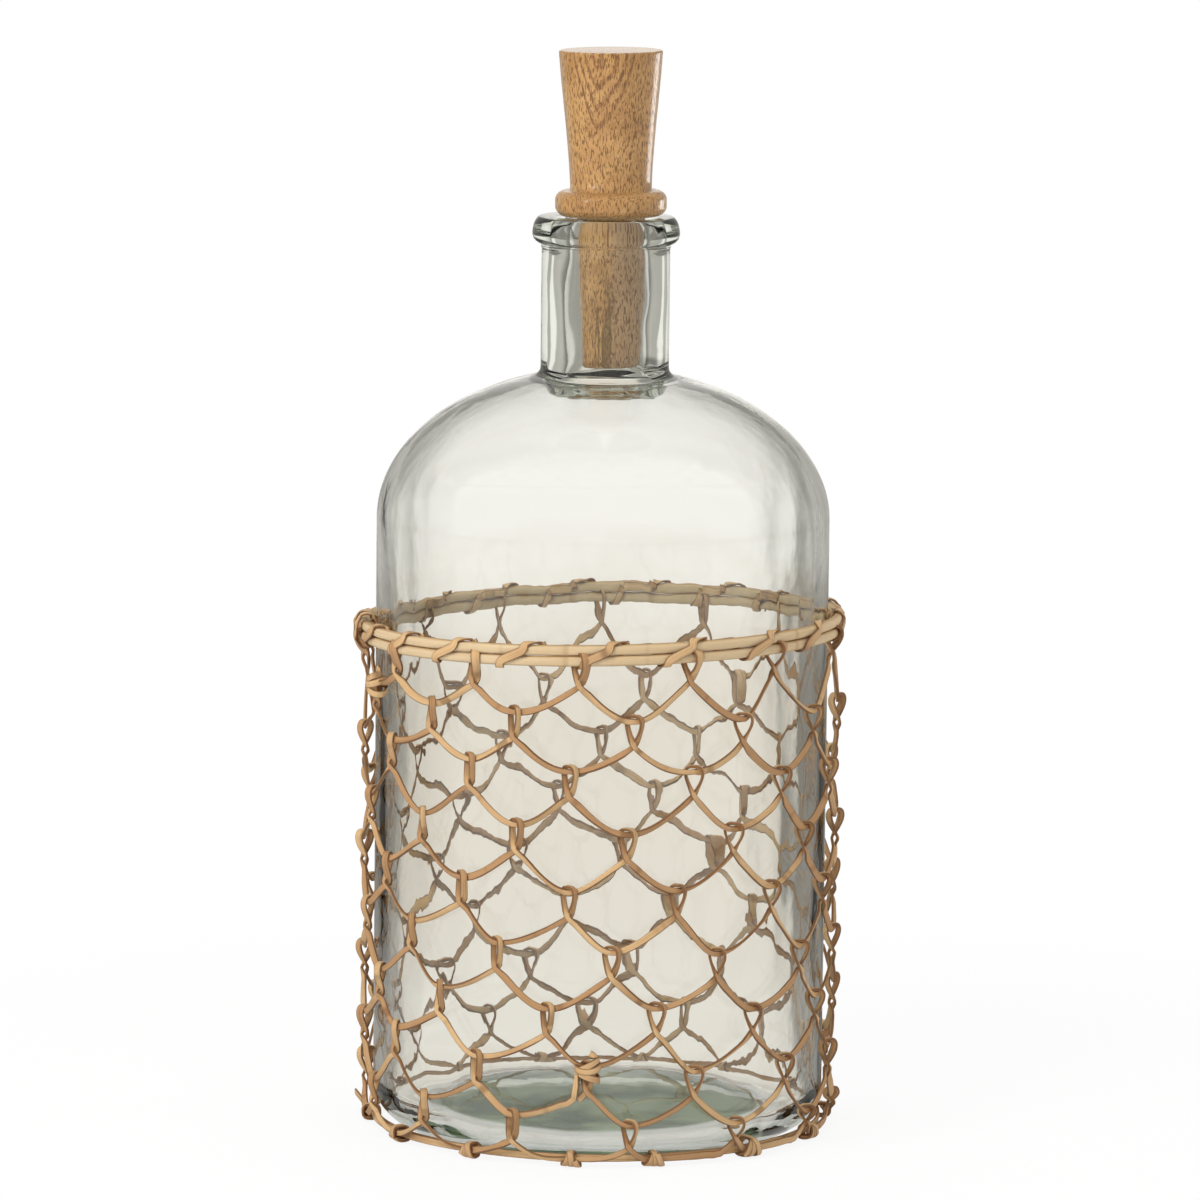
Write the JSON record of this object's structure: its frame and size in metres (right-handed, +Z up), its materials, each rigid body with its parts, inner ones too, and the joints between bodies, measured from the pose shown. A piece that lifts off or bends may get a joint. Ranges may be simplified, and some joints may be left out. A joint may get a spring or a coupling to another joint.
{
  "type": "decorative bottle",
  "caption": "Tall cylindrical glass bottle with a round shoulder and rolled lip, a turned wooden stopper and a loose sleeve of looped flat cane hung from a double cane rim.",
  "frame": {"origin": "on the bottle's axis, in the plane that the bottle stands on", "axes": "+Z up along the bottle's axis, -Y towards the front, +X to the right as the front is seen"},
  "size_m": [0.1946, 0.1942, 0.4244],
  "materials": {
    "glass": "clear, very slightly green glass, polished, with a green tint where it is thick",
    "wood": "turned light-brown wood with a satin varnish, grain along the axis",
    "cane_core": "pale round cane core, matt",
    "cane_strip": "flat split cane, tan to brown, with a faint satin skin"
  },
  "bodies": {
    "sleeve": {"rim_hoop_upper": "cane_core", "rim_hoop_lower": "cane_core", "rim_binding": "cane_strip", "net_strand_upper": "cane_strip", "net_strand_middle": "cane_strip", "net_strand_lower": "cane_strip", "foot_hoop": "cane_strip", "foot_tie_01": "cane_strip", "foot_tie_02": "cane_strip", "foot_tie_03": "cane_strip", "foot_tie_04": "cane_strip", "foot_tie_05": "cane_strip", "foot_tie_06": "cane_strip", "foot_tie_07": "cane_strip", "foot_tie_08": "cane_strip", "foot_tie_09": "cane_strip", "foot_tie_10": "cane_strip", "foot_tie_11": "cane_strip", "foot_tie_12": "cane_strip", "foot_tie_13": "cane_strip", "foot_tie_14": "cane_strip"},
    "bottle": {"glass_bottle": "glass"},
    "stopper": {"wooden_stopper": "wood"}
  },
  "joints": [
    {"name": "bottle_lift", "type": "slide", "parent": "sleeve", "child": "bottle", "axis": [0, 0, 1], "range_m": [0, 0.22]},
    {"name": "stopper_pull", "type": "slide", "parent": "bottle", "child": "stopper", "axis": [0, 0, 1], "range_m": [0, 0.075]}
  ]
}
